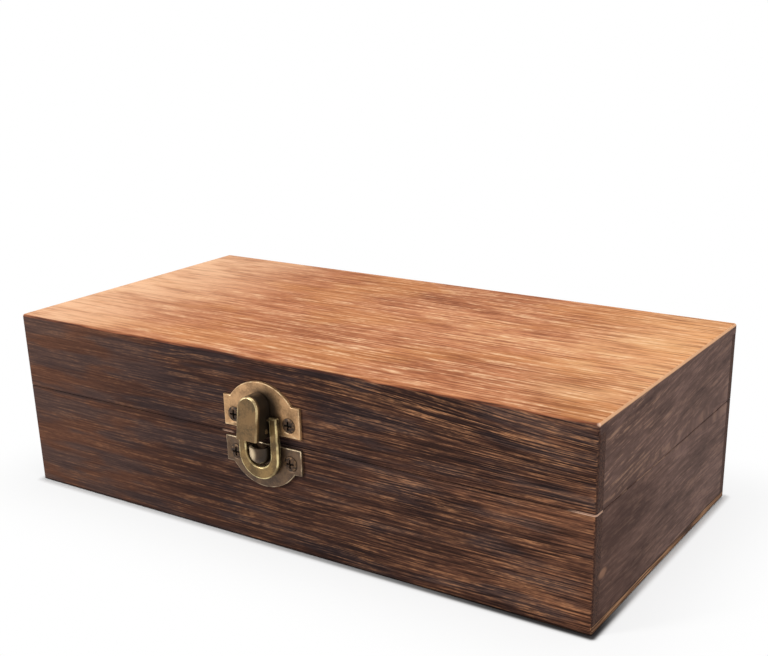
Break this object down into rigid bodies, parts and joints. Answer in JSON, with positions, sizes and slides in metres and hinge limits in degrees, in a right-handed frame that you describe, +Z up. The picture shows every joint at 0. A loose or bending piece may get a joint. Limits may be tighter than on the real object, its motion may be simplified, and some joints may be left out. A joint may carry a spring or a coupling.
{
  "type": "wooden wine box",
  "caption": "Hinged wooden case for a bottle or keepsakes: two glued box halves, hinged at the back and closed by a toggle latch with a swinging loop.",
  "frame": {"origin": "centre of the underside of the closed box", "axes": "+X along the front to the right, +Y from the front with the latch to the back with the hinges, +Z up"},
  "size_m": [0.21, 0.1144, 0.06],
  "materials": {
    "wood_top": "scorched and brushed pale wood, matt, orange brown",
    "wood_front": "scorched and brushed pale wood, matt, dark brown",
    "wood_side": "scorched and brushed pale wood, matt, grey brown",
    "wood_bottom": "pale wood, plain sanded, edge lightly scorched",
    "antique_brass": "pressed sheet, antique brass plating, dark in the recesses",
    "worn_brass": "antique brass plating, rubbed bright on the raised faces",
    "screw_brass": "antique brass plated steel"
  },
  "bodies": {
    "base": {"base_front": "wood_front", "base_back": "wood_front", "base_left": "wood_side", "base_right": "wood_side", "base_bottom": "wood_bottom", "bottom_end_left": "wood_bottom", "bottom_end_right": "wood_bottom", "catch_plate": "antique_brass", "catch_screws": "screw_brass", "hinge_left_base_leaf": "antique_brass", "hinge_middle_base_leaf": "antique_brass", "hinge_right_base_leaf": "antique_brass", "hinge_left_pin": "screw_brass", "hinge_middle_pin": "screw_brass", "hinge_right_pin": "screw_brass", "hinge_base_screws": "screw_brass"},
    "lid": {"lid_front": "wood_front", "lid_back": "wood_front", "lid_left": "wood_side", "lid_right": "wood_side", "lid_top": "wood_top", "latch_plate": "antique_brass", "latch_screws": "screw_brass", "lever_pin": "screw_brass", "hinge_left_lid_leaf": "antique_brass", "hinge_middle_lid_leaf": "antique_brass", "hinge_right_lid_leaf": "antique_brass", "hinge_lid_screws": "screw_brass"},
    "lever": {"latch_lever": "worn_brass"},
    "pin": {"loop_pin": "screw_brass"},
    "loop": {"latch_loop": "worn_brass"}
  },
  "joints": [
    {"name": "lid_hinge", "type": "hinge", "parent": "base", "child": "lid", "pos_m": [0, 0.0518, 0.035], "axis": [-1, 0, 0], "range_deg": [0, 95]},
    {"name": "lever_turn", "type": "hinge", "parent": "lid", "child": "lever", "pos_m": [-0.0026, -0.0561, 0.0393], "axis": [1, 0, 0], "range_deg": [0, 90]},
    {"name": "loop_pin_turn", "type": "hinge", "parent": "lever", "child": "pin", "pos_m": [-0.0026, -0.055, 0.0425], "axis": [-1, 0, 0], "range_deg": [0, 90]},
    {"name": "loop_swing", "type": "hinge", "parent": "pin", "child": "loop", "pos_m": [-0.0026, -0.055, 0.0425], "axis": [-1, 0, 0], "range_deg": [0, 180]}
  ],
  "couplings": [
    {"joint": "loop_pin_turn", "follows": "lever_turn", "ratio": 1}
  ]
}
